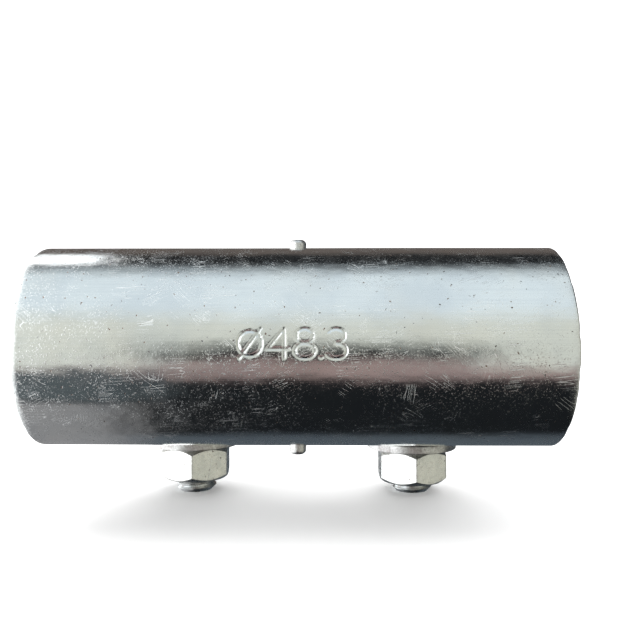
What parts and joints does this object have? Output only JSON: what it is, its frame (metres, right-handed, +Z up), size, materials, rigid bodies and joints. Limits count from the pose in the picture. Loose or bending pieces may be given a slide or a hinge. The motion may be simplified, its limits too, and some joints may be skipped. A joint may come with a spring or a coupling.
{
  "type": "pressed sleeve coupler",
  "caption": "Pressed-steel sleeve coupler that joins scaffold tubes end to end: a hinged shell drawn shut round the tubes by T-bolts, washers and nuts, with a stop in the bore.",
  "frame": {"origin": "on the axis of the tubes, at the middle of the sleeve's length", "axes": "+X along the tubes, +Y to the back where the hinge and bolts are, +Z up, with the nuts at the bottom"},
  "size_m": [0.142, 0.0853, 0.0819],
  "materials": {
    "shell_zinc": "bright zinc plating on pressed sheet, satin haze, scratched",
    "fastener_zinc": "zinc plating on forged and stamped steel",
    "nut_zinc": "zinc plating on a machined nut",
    "pin_steel": "plated drawn bar"
  },
  "bodies": {
    "front_half": {"front_shell": "shell_zinc", "hinge_pin": "pin_steel", "centre_stop": "pin_steel"},
    "rear_half": {"rear_shell": "shell_zinc"},
    "bolt_left": {"t_bolt_left": "fastener_zinc"},
    "bolt_right": {"t_bolt_right": "fastener_zinc"},
    "washer_left": {"washer_left": "fastener_zinc"},
    "washer_right": {"washer_right": "fastener_zinc"},
    "nut_left": {"nut_left": "nut_zinc"},
    "nut_right": {"nut_right": "nut_zinc"}
  },
  "joints": [
    {"name": "shell_open", "type": "hinge", "parent": "front_half", "child": "rear_half", "pos_m": [0, 0.02098, 0.02172], "axis": [1, 0, 0], "range_deg": [0, 90]},
    {"name": "bolt_swing_left", "type": "hinge", "parent": "rear_half", "child": "bolt_left", "pos_m": [-0.0373, 0.042, 0.01151], "axis": [1, 0, 0], "range_deg": [0, 108]},
    {"name": "bolt_swing_right", "type": "hinge", "parent": "rear_half", "child": "bolt_right", "pos_m": [0.0373, 0.042, 0.01151], "axis": [1, 0, 0], "range_deg": [0, 108]},
    {"name": "nut_travel_left", "type": "slide", "parent": "bolt_left", "child": "washer_left", "axis": [0, 0, -1], "range_m": [-0.0019, 0.0035]},
    {"name": "nut_travel_right", "type": "slide", "parent": "bolt_right", "child": "washer_right", "axis": [0, 0, -1], "range_m": [-0.0028, 0.0026]},
    {"name": "nut_turn_left", "type": "hinge", "parent": "washer_left", "child": "nut_left", "pos_m": [-0.0373, 0.042, -0.0416], "axis": [0, 0, -1], "range_deg": [-343, 631]},
    {"name": "nut_turn_right", "type": "hinge", "parent": "washer_right", "child": "nut_right", "pos_m": [0.0373, 0.042, -0.0425], "axis": [0, 0, -1], "range_deg": [-505, 469]}
  ],
  "couplings": [
    {"joint": "bolt_swing_left", "follows": "shell_open", "ratio": 1.2},
    {"joint": "bolt_swing_right", "follows": "shell_open", "ratio": 1.2},
    {"joint": "nut_turn_left", "follows": "nut_travel_left", "rad_per_m": 3141.6},
    {"joint": "nut_turn_right", "follows": "nut_travel_right", "rad_per_m": 3141.6}
  ]
}
